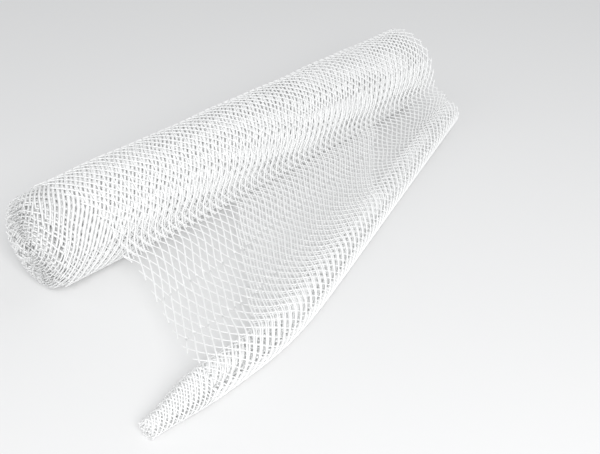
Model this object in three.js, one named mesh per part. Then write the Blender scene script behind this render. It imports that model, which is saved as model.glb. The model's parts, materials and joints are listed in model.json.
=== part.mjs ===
// A part-used roll of white extruded diamond net, sold flat by the length for wrapping young tree trunks.
// Millimetres, +Z up. The roll lies on the ground along X, its near end at -X. The web comes over the top
// of the roll, down its front (-Y), bends outwards as a loose leaf and curls under at its free end.
// The net is one continuous web. Each node here is a length of it that moves against its neighbours,
// drawn as a closed band about as thick as the web's knots stand.
import * as THREE from "three";

// the web
const webWidth = 500;
const bandThickness = 2.8;        // one winding of the roll, knots and slack included
const leafThickness = 2.4;        // a single loose layer
const endGap = 1.0;               // between two lengths that bend against each other
const turnGap = 0.6;              // between the end of one winding and the start of the next

// the roll
const rollRadius = 47.6;          // outside, where the leaf comes off
const eyeRadius = 6;              // middle of the innermost layer
const innerTurns = 8;             // windings inside the outer one
const domeDepth = 9;              // the innermost winding stands this far out at the near end
const turnSteps = 40;             // facets in one winding
const outerTurnSteps = 48;
const restDepth = 0.8;            // how far the underside is pressed flat by its own weight

// the near and far edges of the outer winding and the leaf, measured from the near end of the roll
const edgeAtBack = 4;
const edgeAtTop = 24;
const edgeAtFront = 50;
const edgeAtFold = 29;
const edgeAtCurl = 3;
const farEdgeAtFront = webWidth + 5;
const farEdgeAtCurl = webWidth - 9;
const frontShare = 0.26;          // the near edge is drawn in over this last share of the winding
const backShare = 0.5;

// the leaf
const bendRadius = 14;            // where it turns out from the roll
const leafSetOff = -0.12;         // how much it drops for each mm out where it leaves the bend
const foldNear = 71.8;            // the line across the middle of the leaf, out from the end of the bend
const foldFar = 11.8;
const foldSagNear = 8.925;        // how far it hangs below the middle of its two ends
const foldSagFar = 2.576;
const leafPull = 0.9;             // how stiffly it leaves its two ends, as a share of the panel's length
const leafStepsAcross = 12;
const leafStepsAlong = 8;
const bendSteps = 8;
const curlRise = 4;               // the leaf rises on to the curl by this pull

// the curled end
const curlRadius = 18.8;          // middle of its outer layer, at the top
const curlPitchShare = 0.4255;    // closes in by this share of that each turn
const curlStart = 0.03;           // turns past the top where the curled end begins
const curlSplit = 0.9;            // turns where its outer layer passes to its inner one
const curlTurns = 1.72;           // turns at the cut end of the web
const curlSplitGap = 0.02;
const curlFarShare = 0.86;        // the far end is wound this much tighter
const curlAskew = 132.29;         // its far end lies this much nearer the roll
const curlNearReach = 145.8;      // its middle line from the end of the bend, at the near end
const curlBendAt = 84;            // where it swings from straight to askew, from the near end of the roll
const curlBendLength = 20;
const curlSteps = 30;             // facets in one turn
const curlStepsAcross = 14;

// the tail, the near end of the curl pulled out to a point
const tailTip = -52;              // from the near end of the roll
const tailTipShare = 0.52;        // its width there, as a share of the curl's
const tailStepsAcross = 6;

const nearEnd = -webWidth / 2;
const outerMiddle = rollRadius - bandThickness / 2;
const turnPitch = (outerMiddle - eyeRadius) / (innerTurns + 1);
const lowestMiddle = outerMiddle - turnPitch * 0.75;
const rollHeight = lowestMiddle + bandThickness / 2 - restDepth;
const leafHeight = rollHeight - bendRadius;
const frontY = -outerMiddle;
const bendY = frontY - bendRadius;
const curlPitch = curlRadius * curlPitchShare;
const curlSlope = curlAskew / (webWidth - curlBendAt);
const halfTurn = Math.PI;
const fullTurn = 2 * Math.PI;

const netWhite = { color: 0xf2f3f2, roughness: 0.5, metalness: 0.0, side: THREE.FrontSide };

const mix = (a, b, t) => a + (b - a) * t;

function easeStep(t) {
  const c = Math.min(1, Math.max(0, t));
  return c * c * (3 - 2 * c);
}

// A closed band about a middle surface. at(across, along) gives the middle surface for both from 0 to 1.
// Where flat is set, nothing reaches below the ground and the band keeps its thickness there.
function bandMesh(name, at, stepsAcross, stepsAlong, thickness, flat = false) {
  const small = 1e-4;
  const wide = stepsAlong + 1;
  const points = [];
  for (const side of [1, -1]) {
    for (let i = 0; i <= stepsAcross; i += 1) {
      for (let j = 0; j <= stepsAlong; j += 1) {
        const across = i / stepsAcross;
        const along = j / stepsAlong;
        const middle = at(across, along);
        const alongX = at(Math.min(1, across + small), along).sub(at(Math.max(0, across - small), along));
        const alongWeb = at(across, Math.min(1, along + small)).sub(at(across, Math.max(0, along - small)));
        const normal = alongX.cross(alongWeb).normalize();
        const point = middle.addScaledVector(normal, side * thickness / 2);
        if (flat) point.z = Math.max(point.z, side > 0 ? thickness : 0);
        points.push(point.x, point.y, point.z);
      }
    }
  }
  const under = (stepsAcross + 1) * wide;
  const faces = [];
  const quad = (a, b, c, d) => faces.push(a, b, c, a, c, d);
  for (let i = 0; i < stepsAcross; i += 1) {
    for (let j = 0; j < stepsAlong; j += 1) {
      const a = i * wide + j;
      quad(a, a + wide, a + wide + 1, a + 1);
      quad(under + a, under + a + 1, under + a + wide + 1, under + a + wide);
    }
  }
  for (let i = 0; i < stepsAcross; i += 1) {
    const first = i * wide;
    const last = first + stepsAlong;
    quad(first, under + first, under + first + wide, first + wide);
    quad(last, last + wide, under + last + wide, under + last);
  }
  for (let j = 0; j < stepsAlong; j += 1) {
    const near = j;
    const far = stepsAcross * wide + j;
    quad(near, near + 1, under + near + 1, under + near);
    quad(far, under + far, under + far + 1, far + 1);
  }
  const geometry = new THREE.BufferGeometry();
  geometry.setAttribute("position", new THREE.Float32BufferAttribute(points, 3));
  geometry.setIndex(faces);
  geometry.computeVertexNormals();
  const mesh = new THREE.Mesh(geometry, new THREE.MeshStandardMaterial(netWhite));
  mesh.name = name;
  return mesh;
}

// The roll's spiral. turns counts back from the line where the leaf leaves: 0 there, -1 one winding in.
function rollPoint(x, turns) {
  const angle = halfTurn + turns * fullTurn;
  const radius = outerMiddle + turns * turnPitch;
  return new THREE.Vector3(x, radius * Math.cos(angle), rollHeight + radius * Math.sin(angle));
}

function winding(number) {
  const first = number - innerTurns - 2;
  const share = (outerMiddle + first * turnPitch) / outerMiddle;
  const slip = -domeDepth * Math.sqrt(1 - share * share);
  const gapShare = turnGap / (fullTurn * (outerMiddle + first * turnPitch));
  const at = (across, along) => {
    const turns = mix(first + gapShare / 2, first + 1 - gapShare / 2, along);
    return rollPoint(nearEnd + slip + across * webWidth, turns);
  };
  return bandMesh(`winding_${number}`, at, 1, turnSteps, bandThickness);
}

function outerWinding() {
  const gapShare = turnGap / (fullTurn * outerMiddle);
  const at = (across, along) => {
    const turns = mix(-1 + gapShare / 2, -gapShare, along);
    const back = mix(edgeAtBack, edgeAtTop, easeStep((turns + 1) / backShare));
    const front = mix(0, edgeAtFront - edgeAtTop, easeStep((turns + frontShare) / frontShare));
    const far = mix(webWidth, farEdgeAtFront, turns + 1);
    return rollPoint(nearEnd + mix(back + front, far, across), turns);
  };
  return bandMesh("outer_winding", at, 1, outerTurnSteps, bandThickness, true);
}

// The fillet where the web turns out from the roll.
function leafBend() {
  const at = (across, along) => {
    const gapAngle = endGap / bendRadius;
    const angle = mix(gapAngle / 2, Math.PI / 2 - gapAngle / 2, along);
    const x = nearEnd + mix(edgeAtFront, farEdgeAtFront, across);
    const out = bendRadius * Math.cos(angle);
    return new THREE.Vector3(x, bendY + out, rollHeight - bendRadius * Math.sin(angle));
  };
  return bandMesh("leaf_bend", at, 1, bendSteps, leafThickness);
}

// The curl's middle line, x from the near end of the roll.
function curlLine(x) {
  const swing = curlBendLength * Math.log(1 + Math.exp((x - curlBendAt) / curlBendLength));
  return bendY - (curlNearReach - curlSlope * swing);
}

// How wide the curl is at x, as a share of its width at the leaf's near corner.
function curlShare(x) {
  const far = easeStep((x - curlBendAt) / (webWidth - curlBendAt));
  const tail = easeStep((edgeAtCurl - x) / (edgeAtCurl - tailTip));
  return mix(1, curlFarShare, far) * mix(1, tailTipShare, tail);
}

// A point of the curled end: x along from the near end of the roll, turns from its top, outwards and under.
function curlPoint(x, turns) {
  const small = 0.5;
  const slope = (curlLine(x + small) - curlLine(x - small)) / (2 * small);
  const out = new THREE.Vector2(slope, -1).normalize();
  const share = curlShare(x);
  const radius = (curlRadius - curlPitch * turns) * share;
  const height = (curlRadius - curlPitch / 2) * share + leafThickness / 2 - restDepth / 2;
  const angle = turns * fullTurn;
  const reach = radius * Math.sin(angle);
  return new THREE.Vector3(
    nearEnd + x + out.x * reach,
    curlLine(x) + out.y * reach,
    height + radius * Math.cos(angle));
}

function bendPoint(across) {
  return new THREE.Vector3(nearEnd + mix(edgeAtFront, farEdgeAtFront, across), bendY, leafHeight);
}

function curlTop(across) {
  return curlPoint(mix(edgeAtCurl, farEdgeAtCurl, across), 0);
}

function foldPoint(across) {
  const nearHeight = (leafHeight + curlTop(0).z) / 2 - foldSagNear;
  const farHeight = (leafHeight + curlTop(1).z) / 2 - foldSagFar;
  return new THREE.Vector3(
    nearEnd + mix(edgeAtFold, (farEdgeAtFront + farEdgeAtCurl) / 2, across),
    bendY - mix(foldNear, foldFar, across),
    mix(nearHeight, farHeight, across));
}

// The leaf's run from the bend, over the fold line, to the top of the curl, as one smooth curve.
function leafCurve(across, along) {
  const start = bendPoint(across);
  const fold = foldPoint(across);
  const end = curlTop(across);
  const startPull = new THREE.Vector3(0, -1, leafSetOff).multiplyScalar(start.distanceTo(fold) * leafPull);
  const endOut = curlPoint(mix(edgeAtCurl, farEdgeAtCurl, across), 0.25).sub(end).setZ(0).normalize();
  const endPull = endOut.multiplyScalar(fold.distanceTo(end) * leafPull);
  endPull.z += curlRise;
  const through = end.clone().sub(start).multiplyScalar(0.5);
  const first = along < 0.5;
  const t = first ? along * 2 : along * 2 - 1;
  const [a, b, pullA, pullB] = first ? [start, fold, startPull, through] : [fold, end, through, endPull];
  const h = [2 * t ** 3 - 3 * t ** 2 + 1, t ** 3 - 2 * t ** 2 + t, 3 * t ** 2 - 2 * t ** 3, t ** 3 - t ** 2];
  return a.clone().multiplyScalar(h[0])
    .addScaledVector(pullA, h[1])
    .addScaledVector(b, h[2])
    .addScaledVector(pullB, h[3]);
}

// A panel of the leaf from one share of its run to another, half an end gap short at each end.
function leafPanel(name, from, to) {
  const at = (across, along) => {
    const fold = foldPoint(across);
    const run = bendPoint(across).distanceTo(fold) + fold.distanceTo(curlTop(across));
    const short = endGap / 2 / run;
    return leafCurve(across, mix(from + short, to - short, along));
  };
  return bandMesh(name, at, leafStepsAcross, leafStepsAlong, leafThickness);
}

function curlBand(name, fromX, toX, fromTurn, toTurn, stepsAcross) {
  const at = (across, along) => curlPoint(mix(fromX, toX, across), mix(fromTurn, toTurn, along));
  const steps = Math.ceil(curlSteps * (toTurn - fromTurn));
  return bandMesh(name, at, stepsAcross, steps, leafThickness, true);
}

// Both layers of a stretch of the curled end.
function curlPair(name, fromX, toX, stepsAcross) {
  return [
    curlBand(`${name}_outer`, fromX, toX, curlStart, curlSplit, stepsAcross),
    curlBand(`${name}_inner`, fromX, toX, curlSplit + curlSplitGap, curlTurns, stepsAcross)];
}

const netRoll = new THREE.Group();
for (let number = 1; number <= innerTurns; number += 1) netRoll.add(winding(number));
netRoll.add(outerWinding());
netRoll.add(leafBend());
netRoll.add(leafPanel("leaf_upper", 0, 0.5));
netRoll.add(leafPanel("leaf_lower", 0.5, 1));
netRoll.add(...curlPair("curl", edgeAtCurl, farEdgeAtCurl, curlStepsAcross));
netRoll.add(...curlPair("tail", tailTip, edgeAtCurl - endGap, tailStepsAcross));

export default netRoll;
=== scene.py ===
import json
import math

import bpy
import numpy as np
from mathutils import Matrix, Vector


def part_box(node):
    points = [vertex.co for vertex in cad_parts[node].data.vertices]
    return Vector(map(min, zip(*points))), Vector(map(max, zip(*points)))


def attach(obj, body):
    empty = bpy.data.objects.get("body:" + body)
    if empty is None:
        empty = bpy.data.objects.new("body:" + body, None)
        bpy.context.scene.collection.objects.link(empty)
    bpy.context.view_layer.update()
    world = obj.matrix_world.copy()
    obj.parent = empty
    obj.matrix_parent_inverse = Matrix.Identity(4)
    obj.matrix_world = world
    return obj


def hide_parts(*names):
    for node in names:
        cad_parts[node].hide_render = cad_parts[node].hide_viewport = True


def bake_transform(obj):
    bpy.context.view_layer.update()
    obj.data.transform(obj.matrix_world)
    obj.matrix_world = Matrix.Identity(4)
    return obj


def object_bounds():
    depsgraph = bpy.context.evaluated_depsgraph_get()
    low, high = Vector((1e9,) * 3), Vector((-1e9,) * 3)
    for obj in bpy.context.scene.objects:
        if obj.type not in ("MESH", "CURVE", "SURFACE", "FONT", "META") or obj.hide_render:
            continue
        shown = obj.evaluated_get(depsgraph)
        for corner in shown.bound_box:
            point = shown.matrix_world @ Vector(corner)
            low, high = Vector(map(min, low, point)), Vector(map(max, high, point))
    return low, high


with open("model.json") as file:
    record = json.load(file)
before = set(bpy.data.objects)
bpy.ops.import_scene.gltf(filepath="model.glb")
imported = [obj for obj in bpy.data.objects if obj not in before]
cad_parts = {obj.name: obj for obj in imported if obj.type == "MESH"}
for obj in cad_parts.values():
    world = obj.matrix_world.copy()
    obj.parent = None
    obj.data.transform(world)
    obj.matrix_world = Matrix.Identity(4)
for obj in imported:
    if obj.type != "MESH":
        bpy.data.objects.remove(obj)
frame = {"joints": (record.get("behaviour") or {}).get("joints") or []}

cadBox = [list(corner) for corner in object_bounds()]
joints = {joint["name"]: joint for joint in frame["joints"]}
mm = 0.001
print("frame loaded")


# ---- camera and light

camera = {
    "place": (-0.5509, -0.593, 0.4836),  # off the near end, on the leaf's side
    "lens": 54,
    "sensor": 36,
    "tiltDown": 34.04,  # degrees below level
    "turn": -46.64,  # degrees from looking along +Y
}


def addCamera():
    bpy.ops.object.camera_add(
        location=camera["place"],
        rotation=(math.radians(90 - camera["tiltDown"]), 0, math.radians(camera["turn"])),
    )
    shot = bpy.context.object
    shot.name = "viewCamera"
    shot.data.lens = camera["lens"]
    shot.data.sensor_width = camera["sensor"]
    bpy.context.scene.camera = shot


lights = {
    "skyStrength": 0.54,
    "skyColor": (0.97, 0.985, 1.0),
    "key": {"place": (-0.75, -1.15, 1.05), "size": 1.0, "power": 20},
    "fill": {"place": (-1.6, 0.9, 1.3), "size": 1.8, "power": 2.5},
    "gamma": 1.3,
    "bounces": 10,  # light goes deep into white net
}


def addLight(name, spot):
    bpy.ops.object.light_add(type="AREA", location=spot["place"])
    lamp = bpy.context.object
    lamp.name = name
    lamp.data.shape = "DISK"
    lamp.data.size = spot["size"]
    lamp.data.energy = spot["power"]
    lamp.rotation_euler = (-Vector(spot["place"])).to_track_quat("-Z", "Y").to_euler()


def addSky():
    world = bpy.data.worlds.new("studioSky")
    bpy.context.scene.world = world
    world.use_nodes = True
    background = world.node_tree.nodes["Background"]
    background.inputs["Color"].default_value = (*lights["skyColor"], 1)
    background.inputs["Strength"].default_value = lights["skyStrength"]


addCamera()
addSky()
addLight("keyLight", lights["key"])
addLight("fillLight", lights["fill"])
bpy.context.scene.view_settings.view_transform = "Standard"
bpy.context.scene.view_settings.gamma = lights["gamma"]
bpy.context.scene.cycles.diffuse_bounces = lights["bounces"]
print("camera and light set")


# ---- materials

def node(tree, kind, place, **settings):
    made = tree.nodes.new(kind)
    made.location = place
    for key, value in settings.items():
        setattr(made, key, value)
    return made


plastic = {
    "color": (0.96, 0.963, 0.958),
    "milky": (0.94, 0.945, 0.945),
    "roughness": 0.34,
    "roughnessSpread": 0.16,
    "cloudScale": 38,  # faint milky patches
    "cloudDetail": 3,
    "drawScale": 1400,  # fine lines left by drawing the strands out
    "drawDetail": 2,
    "drawDepth": 0.25,
    "drawHeight": 0.1 * mm,
    "ior": 1.5,
    "scatter": 0.25,
    "scatterDepth": 2 * mm,
}


def makePlastic():
    material = bpy.data.materials.new("netPlastic")
    material.use_nodes = True
    tree = material.node_tree
    shader = tree.nodes["Principled BSDF"]
    coordinates = node(tree, "ShaderNodeTexCoord", (-1100, 0))
    clouds = node(tree, "ShaderNodeTexNoise", (-860, 200))
    clouds.inputs["Scale"].default_value = plastic["cloudScale"]
    clouds.inputs["Detail"].default_value = plastic["cloudDetail"]
    fine = node(tree, "ShaderNodeTexNoise", (-860, -180))
    fine.inputs["Scale"].default_value = plastic["drawScale"]
    fine.inputs["Detail"].default_value = plastic["drawDetail"]
    tint = node(tree, "ShaderNodeMix", (-560, 240), data_type="RGBA")
    tint.inputs["A"].default_value = (*plastic["color"], 1)
    tint.inputs["B"].default_value = (*plastic["milky"], 1)
    gloss = node(tree, "ShaderNodeMapRange", (-560, -20))
    gloss.inputs["To Min"].default_value = plastic["roughness"] - plastic["roughnessSpread"] / 2
    gloss.inputs["To Max"].default_value = plastic["roughness"] + plastic["roughnessSpread"] / 2
    bump = node(tree, "ShaderNodeBump", (-560, -320))
    bump.inputs["Strength"].default_value = plastic["drawDepth"]
    bump.inputs["Distance"].default_value = plastic["drawHeight"]
    link = tree.links.new
    link(coordinates.outputs["Object"], clouds.inputs["Vector"])
    link(coordinates.outputs["Object"], fine.inputs["Vector"])
    link(clouds.outputs["Fac"], tint.inputs["Factor"])
    link(tint.outputs["Result"], shader.inputs["Base Color"])
    link(fine.outputs["Fac"], gloss.inputs["Value"])
    link(gloss.outputs["Result"], shader.inputs["Roughness"])
    link(fine.outputs["Fac"], bump.inputs["Height"])
    link(bump.outputs["Normal"], shader.inputs["Normal"])
    shader.inputs["IOR"].default_value = plastic["ior"]
    shader.inputs["Subsurface Weight"].default_value = plastic["scatter"]
    shader.inputs["Subsurface Radius"].default_value = (plastic["scatterDepth"],) * 3
    shader.inputs["Subsurface Scale"].default_value = 1
    return material


paper = {"color": (0.8, 0.8, 0.8), "roughness": 0.9, "shine": 0.1, "size": 14}


def makeFloorFinish():
    material = bpy.data.materials.new("floorPaper")
    material.use_nodes = True
    tree = material.node_tree
    shader = tree.nodes["Principled BSDF"]
    shader.inputs["Base Color"].default_value = (*paper["color"], 1)
    shader.inputs["Roughness"].default_value = paper["roughness"]
    shader.inputs["Specular IOR Level"].default_value = paper["shine"]
    return material


netPlastic = makePlastic()


def addFloor():
    bpy.ops.mesh.primitive_plane_add(size=paper["size"], location=(0, 0, cadBox[0][2]))
    floor = bpy.context.object
    floor.name = "floor"
    floor.data.materials.append(makeFloorFinish())


addFloor()
print("materials made")


# ---- the flat net, before it is rolled

net = {
    "cells": 56,  # across the web
    "cellAlong": 13.5 * mm,
    "strand": 1.15 * mm,
    "knot": 1.25,  # width at a crossing, as a share of the strand's
    "waist": 0.92,  # and halfway between two
    "lift": 0.25 * mm,  # each family of strands stands this far off the middle of the net
    "leafLift": 0.4 * mm,  # and this far in the leaf
    "leafStrands": (1.12, 0.8),  # the leaf's steep strands look heavier than those across it
    "cover": 0.5,  # half the surface of the strands, as a share of the web's area
    "pressedCover": 0.95,  # the same where they are wide and pressed flat
    "gridCells": 124,  # along each side of the square grid that the strands are cut from
    "edge": 0.28,  # the web's side cuts run this share of a cell past a column of crossings
    "fineEnds": 0.55,  # strands look finer by this much at the roll's ends
    "fineLength": 30 * mm,
}
# Rows of cells between the roll and the top of the curl: few at the leaf's free side, where the
# net is pulled long, and many across its middle.
fan = {
    "even": 8,  # rows as if they were evenly spaced
    "near": 7.3,
    "more": 2.4,
    "moreBy": 140 * mm,  # across from the near edge
    "fewer": 3.2,
    "fewerFrom": 280 * mm,
    "fewerBy": 200 * mm,
}


def ease(t):
    c = np.clip(t, 0, 1)
    return c * c * (3 - 2 * c)


def mix(a, b, t):
    return a + (b - a) * t


def rowsAcross(across):
    more = fan["more"] * ease(across / fan["moreBy"])
    return fan["near"] + more - fan["fewer"] * ease((across - fan["fewerFrom"]) / fan["fewerBy"])


# The leaf's rows spaced evenly, and back again. Rows before the leaf are left as they are.
def respace(row, count, newCount):
    spaced = np.where(row < count, row * newCount / count, row + newCount - count)
    return np.where(row < 0, row, spaced)


def fanIn(across, row):
    return respace(row, rowsAcross(across), fan["even"])


def fanOut(across, row):
    return respace(row, fan["even"], rowsAcross(across))


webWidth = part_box("winding_1")[1].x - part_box("winding_1")[0].x
nearEnd = -webWidth / 2
cellAcross = webWidth / net["cells"]
cellAlong = net["cellAlong"]


def selectOnly(thing):
    bpy.ops.object.select_all(action="DESELECT")
    thing.select_set(True)
    bpy.context.view_layer.objects.active = thing


# One family of parallel strands as plain lines: a grid with one direction of its edges taken
# out, turned corner up and stretched to the shape of the cells.
def addLines(name, direction):
    bpy.ops.object.select_all(action="DESELECT")
    cells = net["gridCells"]
    bpy.ops.mesh.primitive_grid_add(x_subdivisions=cells, y_subdivisions=cells, size=1)
    lines = bpy.context.object
    lines.name = name
    bpy.ops.object.mode_set(mode="EDIT")
    bpy.ops.mesh.select_mode(type="EDGE")
    bpy.ops.mesh.select_all(action="DESELECT")
    bpy.ops.object.mode_set(mode="OBJECT")
    points = lines.data.vertices
    for edge in lines.data.edges:
        a, b = (points[i].co for i in edge.vertices)
        edge.select = abs(a[direction] - b[direction]) < 0.1 / cells
    bpy.ops.object.mode_set(mode="EDIT")
    bpy.ops.mesh.delete(type="EDGE_FACE")
    bpy.ops.mesh.select_all(action="SELECT")
    bpy.ops.mesh.subdivide(number_cuts=1)
    bpy.ops.transform.rotate(value=math.radians(45), orient_axis="Z", center_override=(0, 0, 0))
    diagonal = math.sqrt(2) / cells
    stretch = (cellAcross / diagonal, cellAlong / diagonal, 1)
    bpy.ops.transform.resize(value=stretch, center_override=(0, 0, 0))
    middle = (net["cells"] // 2 + net["edge"]) * cellAcross
    bpy.ops.transform.translate(value=(middle, 0, 0))
    bpy.ops.object.mode_set(mode="OBJECT")
    return lines


# A copy of the flat lines, cut to a shape. Each cut is a point of an edge and the way out of it.
def cutLines(lines, cells, cuts, fanned):
    piece = lines.copy()
    piece.data = lines.data.copy()
    bpy.context.collection.objects.link(piece)
    selectOnly(piece)
    bpy.ops.object.mode_set(mode="EDIT")
    bpy.ops.mesh.select_all(action="SELECT")
    bpy.ops.transform.translate(value=(cells[0] * cellAcross, cells[1] * cellAlong, 0))
    if fanned:
        bpy.ops.object.mode_set(mode="OBJECT")
        flat = np.zeros(len(piece.data.vertices) * 3)
        piece.data.vertices.foreach_get("co", flat)
        flat = flat.reshape(-1, 3)
        flat[:, 1] = fanIn(flat[:, 0], flat[:, 1] / cellAlong) * cellAlong
        piece.data.vertices.foreach_set("co", flat.ravel())
        bpy.ops.object.mode_set(mode="EDIT")
    for point, outward in cuts:
        bpy.ops.mesh.select_all(action="SELECT")
        bpy.ops.mesh.bisect(plane_co=(*point, 0), plane_no=(*outward, 0), clear_outer=True)
    bpy.ops.object.mode_set(mode="OBJECT")
    return piece


# Turns flat lines into strands on a surface, thickest where they cross. The ply's place takes
# across, along and lift, and gives the points. A pressed ply is made flat first, then laid.
def layStrands(piece, ply, lift, cells):
    selectOnly(piece)
    bpy.ops.object.convert(target="CURVE")
    strands = bpy.context.object
    shape = strands.data
    shape.dimensions = "3D"
    shape.bevel_depth = net["strand"] / 2 * ply.get("wide", 1)
    shape.bevel_resolution = ply.get("sides", 0)
    shape.use_fill_caps = True
    for spline in shape.splines:
        count = len(spline.points)
        flat = np.zeros(count * 4)
        spline.points.foreach_get("co", flat)
        flat = flat.reshape(-1, 4)
        row = flat[:, 1] / cellAlong
        if "fanned" in ply:
            row = fanOut(flat[:, 0], row)
        crossing = np.cos(4 * math.pi * (row - cells))  # 1 at a crossing
        width = np.interp(crossing, [-1, 1], [net["waist"], net["knot"]])
        if "pressed" in ply:
            width = width * mix(net["fineEnds"], 1, ease(flat[:, 0] / net["fineLength"]))
        if "pressed" not in ply:
            flat[:, :3] = ply["place"](flat[:, 0], flat[:, 1], lift)
            spline.points.foreach_set("co", flat.ravel())
        spline.points.foreach_set("radius", width)
    bpy.ops.object.convert(target="MESH")
    strands = bpy.context.object
    if "pressed" in ply:
        flat = np.zeros(len(strands.data.vertices) * 3)
        strands.data.vertices.foreach_get("co", flat)
        flat = flat.reshape(-1, 3)
        laid = ply["place"](flat[:, 0], flat[:, 1], (flat[:, 2] * ply["pressed"] + lift)[:, None])
        strands.data.vertices.foreach_set("co", laid.ravel())
    return strands


flatLines = [addLines("strandsLeft", 0), addLines("strandsRight", 1)]
print("flat net drawn")


# One piece of net. Each ply has its cuts and its place, and may have a depth below the first
# ply, a shift in cells across and along, its own lift, its strands' width, and how flat they
# are pressed.
def makeNet(name, plies):
    parts = []
    for ply in plies:
        lengths = [point[1] for point, outward in ply["cuts"]]
        sideways, forwards = ply.get("shift", (0, 0))
        cells = forwards
        if "fanned" not in ply:
            cells += round((max(lengths) + min(lengths)) / 2 / cellAlong)
        for lines, side, share in zip(flatLines, (1, -1), ply.get("strands", (1, 1))):
            piece = cutLines(lines, (sideways, cells), ply["cuts"], "fanned" in ply)
            lift = side * ply.get("lift", net["lift"]) - ply.get("depth", 0)
            parts.append(layStrands(piece, ply | {"wide": share * ply.get("wide", 1)}, lift, cells))
    bpy.ops.object.select_all(action="DESELECT")
    for part in parts:
        part.select_set(True)
    bpy.context.view_layer.objects.active = parts[0]
    bpy.ops.object.join()
    piece = bpy.context.object
    piece.name = name
    piece.data.name = name
    bpy.ops.object.mode_set(mode="EDIT")
    bpy.ops.mesh.select_all(action="SELECT")
    bpy.ops.mesh.remove_doubles(threshold=0.000001)
    bpy.ops.object.mode_set(mode="OBJECT")
    bpy.ops.object.shade_smooth()
    piece.data.materials.clear()
    piece.data.materials.append(netPlastic)
    return piece


# ---- the shape of the web: the roll

roll = {
    "band": 2.8 * mm,  # the CAD's band, which holds two turns of the web
    "windings": 9,
    "eye": 6 * mm,  # radius of the innermost turn
    "edgeAtBack": 4 * mm,  # near edge of the outermost turn, from the near end of the roll
    "edgeAtTop": 24 * mm,
    "backShare": 0.5,  # of a turn, in which the edge is drawn in as far as the top
    "frontShare": 0.26,  # and from there to where the leaf leaves
    "tuck": 1.3 * mm,  # the turns' ends bend inwards by this much
    "tuckLength": 9 * mm,
    "tuckFrom": (0.9, 0.2),  # turns back where the tuck begins, and those it grows over
    "smallest": 2 * mm,
    "slackFrom": 20 * mm,  # it lies true for this length before the leaf
}
# How the turns wave in and out: height, waves a metre along the roll, waves around, and start.
slackWaves = [(0.5 * mm, 42, 2, 0), (0.2 * mm, 90, -3, 1)]
leastHeight = net["strand"] * 0.9
outerMiddle = -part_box("outer_winding")[0].y - roll["band"] / 2
rollHeight = joints["leaf_lift"]["pos_m"][2]
turnPitch = (outerMiddle - roll["eye"]) / roll["windings"] / 2
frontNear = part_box("leaf_bend")[0].x
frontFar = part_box("leaf_bend")[1].x
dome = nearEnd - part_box("winding_1")[0].x


# Length of the web at a turn, both measured back from where the leaf leaves the roll.
def lengthAt(turn):
    return 2 * math.pi * (outerMiddle * turn + turnPitch * turn * turn / 2)


def turnAt(length):
    inside = outerMiddle**2 + turnPitch * np.minimum(length, 0) / math.pi
    return (np.sqrt(np.maximum(inside, roll["eye"] ** 2 / 4)) - outerMiddle) / turnPitch


# Where the web's two side edges run at a turn.
def rollEdges(turn):
    share = np.clip((outerMiddle + turn * turnPitch) / outerMiddle, 0, 1)
    slip = dome * np.sqrt(1 - share**2)
    back = roll["edgeAtBack"] * ease(turn + 2)
    back = back + (roll["edgeAtTop"] - roll["edgeAtBack"]) * ease((turn + 1) / roll["backShare"])
    front = ease((turn + roll["frontShare"]) / roll["frontShare"])
    front = front * (frontNear - nearEnd - roll["edgeAtTop"])
    near = nearEnd - slip + back + front
    far = -nearEnd - slip + (frontFar + nearEnd) * ease(turn + 1)
    return near, far


def rollPoint(across, length):
    turn = turnAt(length)
    near, far = rollEdges(turn)
    angle = math.pi + 2 * math.pi * turn
    x = mix(near, far, across / webWidth)
    tuck = ease(1 - (x - near) / roll["tuckLength"]) + ease(1 - (far - x) / roll["tuckLength"])
    start, over = roll["tuckFrom"]
    tuck = tuck * ease(-(turn + start) / over)  # the outermost turn's edges stay flat
    slack = sum(tall * np.sin(x * fast + angle * around + at) for tall, fast, around, at in slackWaves)
    radius = outerMiddle + turn * turnPitch - roll["tuck"] * tuck
    radius = np.maximum(radius + slack * ease(-length / roll["slackFrom"]), roll["smallest"])
    height = rollHeight + radius * np.sin(angle)
    lowest = np.where(turn > -2.01, leastHeight, -1)  # only the two outermost turns meet the ground
    return np.stack([x, radius * np.cos(angle), np.maximum(height, lowest)], -1)


# ---- the shape of the web: the leaf and its curled end

leaf = {
    "bend": 14 * mm,
    "thick": 2.4 * mm,
    "fold": (132 * mm, 72 * mm),  # from the roll's middle plane, near and far
    "foldHeight": (23 * mm, 27 * mm),
    "pull": 0.9,
    "foldEdge": 29 * mm,
    "setOff": -0.12,  # how much it drops for each unit out where it leaves the bend
    "rise": 4 * mm,  # it rises on to the curl by this pull
}
curl = {
    "radius": 18.8 * mm,
    "pitch": 8 * mm,
    "turns": 1.72,
    "farShare": 0.86,
    "slope": 0.318,
    "reach": 206 * mm,
    "bendAt": 84 * mm,
    "bendLength": 20 * mm,
    "tailShare": 0.52,
    "press": 0.8 * mm,  # its underside is flattened by this much
}
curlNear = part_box("curl_outer")[0].x - nearEnd
curlFar = 491 * mm
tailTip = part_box("tail_outer")[0].x - nearEnd
bendY = -outerMiddle - leaf["bend"]


def curlLine(x):
    swing = curl["bendLength"] * np.log1p(np.exp((x - curl["bendAt"]) / curl["bendLength"]))
    return -(curl["reach"] - curl["slope"] * swing)


def curlShare(x):
    far = ease((x - curl["bendAt"]) / (webWidth - curl["bendAt"]))
    tail = ease((curlNear - x) / (curlNear - tailTip))
    return mix(1, curl["farShare"], far) * mix(1, curl["tailShare"], tail)


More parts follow.
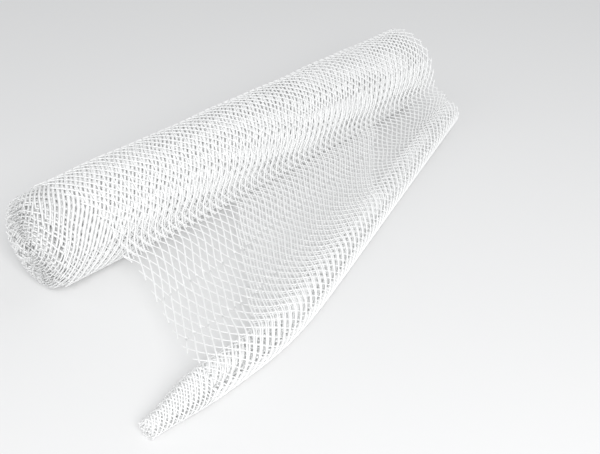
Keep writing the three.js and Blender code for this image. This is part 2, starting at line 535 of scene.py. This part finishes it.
def curlPoint(x, turn):
    small = 0.5 * mm
    slope = (curlLine(x + small) - curlLine(x - small)) / (2 * small)
    size = np.sqrt(1 + slope * slope)
    share = curlShare(x)
    radius = (curl["radius"] - curl["pitch"] * turn) * share
    height = (curl["radius"] - curl["pitch"] / 2) * share + leaf["thick"] / 2 - curl["press"] / 2
    angle = 2 * math.pi * turn
    reach = radius * np.sin(angle)
    z = np.maximum(height + radius * np.cos(angle), leastHeight)
    return np.stack([nearEnd + x + slope / size * reach, curlLine(x) - reach / size, z], -1)


def hermite(t, a, pullA, b, pullB):
    t = t[:, None]
    return (
        a * (2 * t**3 - 3 * t**2 + 1)
        + pullA * (t**3 - 2 * t**2 + t)
        + b * (3 * t**2 - 2 * t**3)
        + pullB * (t**3 - t**2)
    )


rows = {
    "leaf": fan["even"],
    "rollSlope": (14 * mm, 8 * mm),  # cell length where the leaf leaves the roll, near and far
    "curlSlope": (12 * mm, 6 * mm),  # and at the curl's top
    "curl": 7.5 * mm,  # cell length in the curl
    "before": 4,  # rows kept before the leaf
}


steps = {"leaf": 60, "curl": 240}  # points in each stretch of the leaf and in the curl


# One line of the web from the roll to its cut end, as points, with where it folds and curls.
def frontRun(across):
    share = max(across / webWidth, 0)
    t = np.linspace(0, 1, steps["leaf"])
    start = np.array([mix(frontNear, frontFar, share), bendY, rollHeight - leaf["bend"]])
    foldX = mix(leaf["foldEdge"], (frontFar - nearEnd + curlFar) / 2, share)
    fold = np.array([nearEnd + foldX, -mix(*leaf["fold"], share), mix(*leaf["foldHeight"], share)])
    column = np.array([mix(curlNear, curlFar, share) + min(across, 0)])
    end = curlPoint(column, np.array([0.0]))[0]
    out = curlPoint(column, np.array([0.25]))[0] - end
    out[2] = 0
    out /= np.linalg.norm(out)
    startPull = np.array([0, -1, leaf["setOff"]]) * np.linalg.norm(fold - start) * leaf["pull"]
    endPull = out * np.linalg.norm(end - fold) * leaf["pull"] + np.array([0, 0, leaf["rise"]])
    through = (end - start) / 2
    angle = t * math.pi / 2
    fillet = np.stack([
        np.full(steps["leaf"], start[0]),
        bendY + leaf["bend"] * np.cos(angle),
        rollHeight - leaf["bend"] * np.sin(angle)], -1)
    upper = hermite(t, start, startPull, fold, through)
    lower = hermite(t, fold, through, end, endPull)
    turning = np.linspace(0, curl["turns"], steps["curl"])
    rolled = curlPoint(np.full(steps["curl"], column[0]), turning)
    points = np.concatenate([fillet[:-1], upper[:-1], lower[:-1], rolled])
    along = np.concatenate([[0], np.cumsum(np.linalg.norm(np.diff(points, axis=0), axis=1))])
    stretch = steps["leaf"] - 1
    return points, along, (along[2 * stretch], along[3 * stretch], along[-1])


# Length along the web's surface at a row of cells. On the leaf the rows fan out, so that each
# row meets the curl along its whole length.
def lengthAtRow(row, share, curlAt):
    t = np.clip(row / rows["leaf"], 0, 1)
    first = mix(*rows["rollSlope"], share) * rows["leaf"]
    last = mix(*rows["curlSlope"], share) * rows["leaf"]
    length = curlAt * (3 * t**2 - 2 * t**3) + first * (t**3 - 2 * t**2 + t) + last * (t**3 - t**2)
    past = np.maximum(row - rows["leaf"], 0)
    turning = mix(last / rows["leaf"], rows["curl"], np.minimum(past, 1) / 2)
    return length + turning * past + np.minimum(row, 0) * cellAlong


tailWidth = curlNear - tailTip
grid = {"columns": 140, "rows": 680, "lastRow": 30}
columns = np.linspace(-tailWidth, webWidth, grid["columns"])
rowsAt = np.linspace(-rows["before"], grid["lastRow"], grid["rows"])


def buildFront():
    surface = np.zeros((len(columns), len(rowsAt), 3))
    marks = np.zeros((len(columns), 3))
    for i, across in enumerate(columns):
        points, along, at = frontRun(across)
        length = lengthAtRow(rowsAt, max(across / webWidth, 0), at[1])
        for k in range(3):
            surface[i, :, k] = np.interp(length, along, points[:, k])
        past = length > along[-1]
        way = (points[-1] - points[-4]) / np.linalg.norm(points[-1] - points[-4])
        surface[i, past] = points[-1] + (length[past] - along[-1])[:, None] * way
        back = length < 0
        surface[i, back] = rollPoint(np.full(back.sum(), max(across, 0)), length[back])
        marks[i] = [np.interp(value, length, rowsAt) for value in at]
    return surface, marks


frontGrid, frontMarks = buildFront()


# The way out of the surface at each of its points.
def facing(surface):
    way = np.cross(np.gradient(surface, axis=1), np.gradient(surface, axis=0))
    return way / np.maximum(np.linalg.norm(way, axis=-1, keepdims=True), 1e-12)


frontFacing = facing(frontGrid)


def lookUp(table, across, along, acrossAt, alongAt):
    u = np.clip((across - acrossAt[0]) / (acrossAt[1] - acrossAt[0]), 0, len(acrossAt) - 1.001)
    v = np.clip((along - alongAt[0]) / (alongAt[1] - alongAt[0]), 0, len(alongAt) - 1.001)
    i, j = u.astype(int), v.astype(int)
    p, q = (u - i)[:, None], (v - j)[:, None]
    return (
        table[i, j] * (1 - p) * (1 - q)
        + table[i + 1, j] * p * (1 - q)
        + table[i, j + 1] * (1 - p) * q
        + table[i + 1, j + 1] * p * q
    )


# The net is never quite even: its cells wander a little both ways. Each wave has its size, how
# fast it goes across and along the web, and its start.
sideWaves = [(0.7 * mm, 23, 74, 0), (0.5 * mm, -67, 151, 2)]
lengthWaves = [(0.9 * mm, 58, 31, 1), (0.5 * mm, 143, -49, 0)]


def waving(waves, across, along):
    return sum(size * np.sin(across * a + along * b + at) for size, a, b, at in waves)


def wander(across, along):
    return across + waving(sideWaves, across, along), along + waving(lengthWaves, across, along)


groundGap = net["strand"] * 0.6  # strands' middles keep this far above the ground


def aboveGround(points):
    points[:, 2] = np.maximum(points[:, 2], groundGap)
    return points


def placeFront(across, along, lift):
    across, along = wander(across, along)
    row = along / cellAlong
    point = lookUp(frontGrid, across, row, columns, rowsAt)
    return aboveGround(point + lift * lookUp(frontFacing, across, row, columns, rowsAt))


def placeRoll(across, along, lift):
    across, along = wander(across, along)
    point = rollPoint(across, along)
    angle = math.pi + 2 * math.pi * turnAt(along)
    out = np.stack([np.zeros(len(angle)), np.cos(angle), np.sin(angle)], -1)
    return aboveGround(point + lift * out)


# ---- the windings

def cutsAt(fromLength, toLength, near=0, far=webWidth):
    return [((near, fromLength), (-1, 0)), ((far, fromLength), (1, 0)),
            ((0, fromLength), (0, -1)), ((0, toLength), (0, 1))]


# Turns inside the roll are drawn wider and flatter than real ones, to close up the way more
# turns would.
pressed = {"wide": 2.8, "pressed": 0.3}
halfStep = (0.25, 0.25)  # sets a second ply's strands between the first one's


def rollPly(fromLength, toLength, inside):
    ply = {"cuts": cutsAt(fromLength, toLength), "place": placeRoll}
    return ply | (pressed if inside else {"sides": 1})


# Each winding holds two turns of the web, and those inside are pressed wide and flat.
def addWinding(number):
    first = 2 * (number - roll["windings"] - 1)
    ends = [lengthAt(first), lengthAt(first + 1), lengthAt(first + 2)]
    plies = [rollPly(ends[0], ends[1], True), rollPly(ends[1], ends[2], True)]
    piece = makeNet(f"net_winding_{number}", plies)
    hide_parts(f"winding_{number}")
    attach(piece, f"turn_{number}")


rootLength = -0.026
for number in range(1, roll["windings"]):
    addWinding(number)
    print("winding", number)


def addOuterWinding():
    ends = [lengthAt(-2), lengthAt(-1), rootLength]
    plies = [rollPly(ends[0], ends[1], True)]
    plies.append(plies[0] | {"shift": halfStep, "depth": 0.4 * mm})
    lining = makeNet("net_outer_lining", plies)
    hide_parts("outer_winding")
    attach(lining, "roll")

    piece = makeNet("net_outer_winding", [rollPly(ends[1], ends[2], False)])
    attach(piece, "roll")


addOuterWinding()
print("outer winding")


# ---- the leaf, the curled end and the tail

leafCuts = {
    "upper": 3.63,  # rows of cells past the roll
    "lower": 6.13,
    "curl": 10.37,
}
rootRow = rootLength / cellAlong
nearColumn = np.argmin(abs(columns))
nearLast = frontMarks[nearColumn, 2]
farLast = frontMarks[-1, 2]


def rowCuts(first, last, near=0, far=webWidth):
    return cutsAt(first * cellAlong, last * cellAlong, near, far)


def endCut(near, far):
    slope = (far - near) * cellAlong / webWidth
    return ((0, near * cellAlong), (-slope, 1))


def frontPiece(name, first, last, seconds, extra=()):
    top = {
        "cuts": rowCuts(first, last) + list(extra),
        "place": placeFront,
        "sides": 1,
        "fanned": True,
        "lift": net["leafLift"],
        "strands": net["leafStrands"],
    }
    plies = [top] + [top | {"sides": 0} | second for second in seconds]
    for ply in plies:
        ply["cuts"] = ply["cuts"] + ply.get("slants", [])
    return makeNet(name, plies)


def slantCut(across, row, slant, side):
    return ((across, row * cellAlong), (side, -side * slant / cellAlong))


def startCut(row):
    return [((0, row * cellAlong), (0, -1))]


# The net is doubled behind the bend, and a second layer lies under the middle of the leaf.
bendRow = 1.15
behindBend = {
    "cuts": rowCuts(rootRow, bendRow),
    "depth": 1.8 * mm,
    "shift": halfStep,
    "strands": (0.8, 1.1),
}
slants = [slantCut(129 * mm, 2, -12.3 * mm, -1), slantCut(348 * mm, 3.3, -14 * mm, 1)]
under = {"depth": 2 * mm, "shift": halfStep, "slants": slants}
pastBend = under | {"slants": slants + startCut(bendRow)}


def addLeaf():
    rows = (rootRow, leafCuts["upper"])
    root = frontPiece("net_leaf_root", *rows, [behindBend, pastBend])
    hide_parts("leaf_bend", "leaf_upper")
    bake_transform(root)

    rows = (leafCuts["upper"], leafCuts["lower"])
    fold = frontPiece("net_leaf_middle", *rows, [under])
    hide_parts("leaf_lower")
    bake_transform(fold)

    rows = (leafCuts["lower"], leafCuts["curl"])
    front = frontPiece("net_leaf_front", *rows, [under])
    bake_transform(front)


innerCurl = {"depth": 2.2 * mm, "shift": (0, 0.5), "wide": 1.9}


def addCurl():
    last = max(nearLast, farLast)
    ends = [endCut(nearLast, farLast)]
    piece = frontPiece("net_curl", leafCuts["curl"], last, [innerCurl], ends)
    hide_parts("curl_outer", "curl_inner")
    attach(piece, "curl")


tailNet = {
    "small": 0.55,  # its cells, drawn together, as a share of the leaf's
    "plies": ((0, 0), (2 * mm, 0.5)),  # depth and shift of each
    "cover": 0.6,
    "width": 0.98,  # it stops this short of the curl
    "blend": 14 * mm,
}
tailCell = rows["curl"] / tailNet["small"]


def placeTail(across, along, lift):
    row = rows["leaf"] + along / tailCell
    small = across * tailNet["small"]
    point = lookUp(frontGrid, small, row, columns, rowsAt)
    return aboveGround(point + lift * lookUp(frontFacing, small, row, columns, rowsAt))


def addTail():
    width = tailWidth * tailNet["width"] / tailNet["small"]
    length = (nearLast - rows["leaf"]) * tailCell
    tipLength = (frontMarks[0, 2] - rows["leaf"]) * tailCell
    slope = (length - tipLength) / width
    cuts = [((0, 0), (1, 0)), ((-width, 0), (-1, 0)), ((0, 0), (0, -1)), ((0, length), (-slope, 1))]
    ply = {"cuts": cuts, "place": placeTail}
    plies = [ply | {"depth": depth, "shift": (0, shift)} for depth, shift in tailNet["plies"]]
    piece = makeNet("net_tail", plies)
    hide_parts("tail_outer", "tail_inner")
    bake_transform(piece)


addLeaf()
print("leaf laid")
addCurl()
addTail()
print("curl and tail laid")
for lines in flatLines:
    bpy.data.objects.remove(lines)
